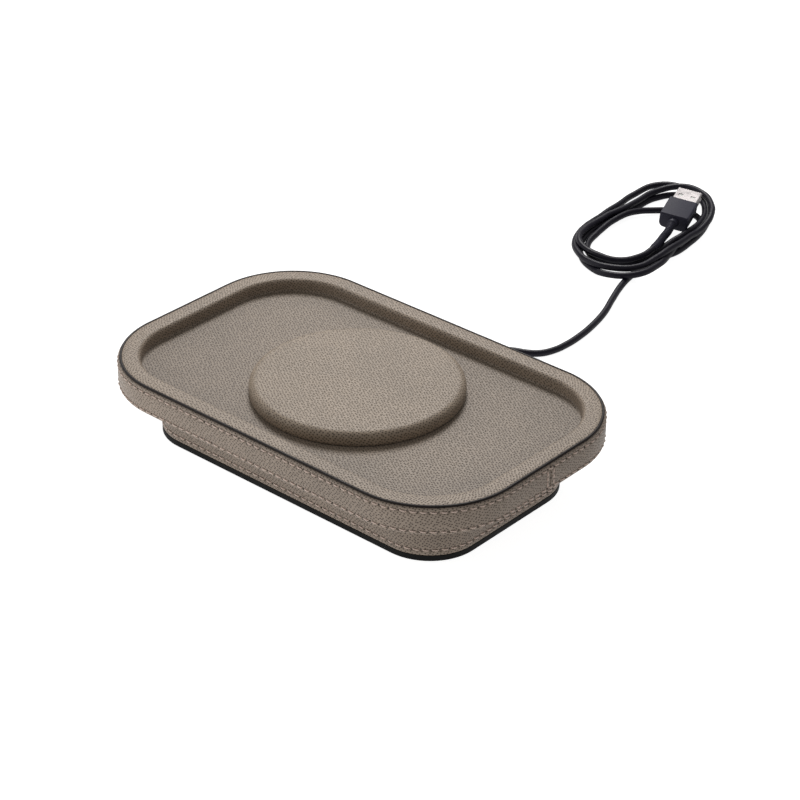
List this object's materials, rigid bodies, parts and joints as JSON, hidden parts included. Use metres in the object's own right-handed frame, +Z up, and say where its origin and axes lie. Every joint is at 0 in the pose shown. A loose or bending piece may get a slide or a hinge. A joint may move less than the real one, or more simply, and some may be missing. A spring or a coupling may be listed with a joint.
{
  "type": "wireless charging pad",
  "caption": "Leather-covered wireless charging tray with a round puck in its well, on a narrower plinth, with a thin USB lead ending in a loose coil.",
  "frame": {"origin": "centre of the pad's footprint, on the surface that its rubber feet stand on", "axes": "+X along the tray's long side, +Y to the rear where the lead leaves the plinth, +Z up"},
  "size_m": [0.1942, 0.3554, 0.0356],
  "materials": {
    "mdf_board": "raw board",
    "rim_leather": "pebbled, waxed",
    "side_leather": "pebbled, waxed",
    "puck_leather": "pebbled, waxed",
    "edge_paint": "satin edge paint",
    "sewing_thread": "waxed thread",
    "underside_felt": "matte",
    "black_abs": "fine matte",
    "foot_rubber": "matte",
    "screw_steel": "zinc plated",
    "foam": "soft foam",
    "carrier_plastic": "natural",
    "ferrite": "sintered",
    "copper": "enamelled wire",
    "thermistor_glass": "resin",
    "board_laminate": "solder mask",
    "chip_resin": "moulded",
    "capacitor_film": "dipped",
    "connector_nylon": "nylon",
    "cord_jacket": "matte PVC",
    "plug_moulding": "fine satin",
    "plug_steel": "nickel plated",
    "plug_insert": "moulded",
    "contact_gold": "gold plated"
  },
  "bodies": {
    "root": {"tray_frame": "mdf_board", "well_lining": "rim_leather", "side_band": "side_leather", "edge_bead": "edge_paint", "upper_thread": "sewing_thread", "lower_thread": "sewing_thread", "seam_thread": "sewing_thread", "underside_lining": "underside_felt", "plinth_block": "mdf_board", "plinth_band": "side_leather", "plinth_thread": "sewing_thread", "base_plate": "black_abs", "foot_pads": "foot_rubber", "base_screws": "screw_steel", "frame_screws": "screw_steel", "puck_cover": "puck_leather", "puck_pad": "foam", "charger_lid": "black_abs", "charger_tub": "black_abs", "module_screws": "screw_steel", "coil_carrier": "carrier_plastic", "ferrite_disc": "ferrite", "transmit_coil": "copper", "coil_leads": "copper", "coil_thermistor": "thermistor_glass", "circuit_board": "board_laminate", "controller_chip": "chip_resin", "power_inductor": "chip_resin", "resonance_capacitors": "capacitor_film", "driver_transistors": "chip_resin", "board_connector": "connector_nylon", "inner_lead": "cord_jacket", "lead_clamp": "black_abs", "clamp_screws": "screw_steel", "cord_gland": "cord_jacket", "cord_run": "cord_jacket", "cord_coil": "cord_jacket", "cord_tail": "cord_jacket", "plug_body": "plug_moulding", "plug_collar": "plug_moulding", "plug_shell": "plug_steel", "plug_tongue": "plug_insert", "plug_contacts": "contact_gold"}
  },
  "joints": []
}
